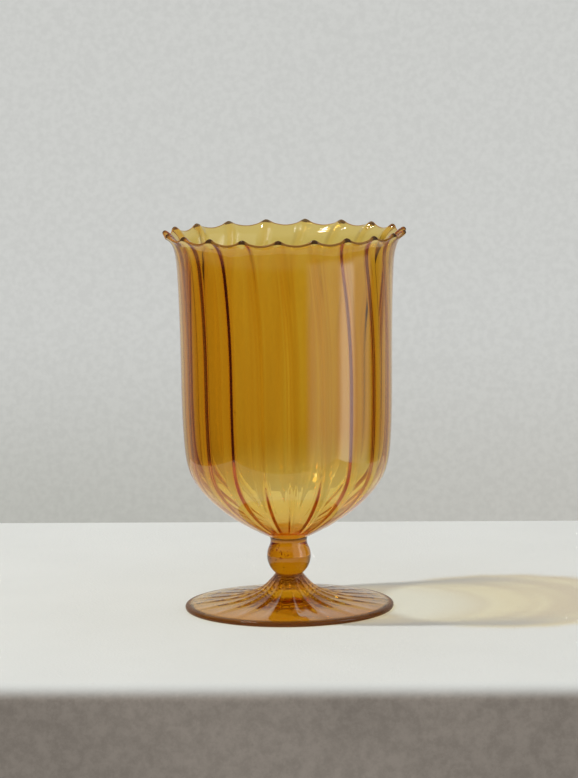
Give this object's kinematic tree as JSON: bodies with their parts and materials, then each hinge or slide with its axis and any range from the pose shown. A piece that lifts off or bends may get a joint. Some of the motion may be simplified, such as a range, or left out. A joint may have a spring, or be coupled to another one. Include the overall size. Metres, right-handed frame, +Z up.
{
  "type": "footed vase",
  "caption": "Footed blown glass vase: a tall ribbed bowl with a ruffled rim on a ball knop stem and a spread disc foot.",
  "frame": {"origin": "centre of the foot's rest ring, in the plane that the vase stands on", "axes": "+Z up along the vase's axis; -Y faces the side shown in the picture; +X is that side's right"},
  "size_m": [0.129, 0.129, 0.2027],
  "materials": {
    "bowl_glass": "blown amber glass about 1.5 mm thick, fire-polished, clear, with optic ribs inside the wall",
    "stem_glass": "solid amber glass, fire-polished, clear, with a few small seeds",
    "foot_glass": "pressed amber glass, fire-polished, clear, with radial ribs and a ground pontil"
  },
  "bodies": {
    "root": {"bowl": "bowl_glass", "stem": "stem_glass", "foot": "foot_glass"}
  },
  "joints": []
}
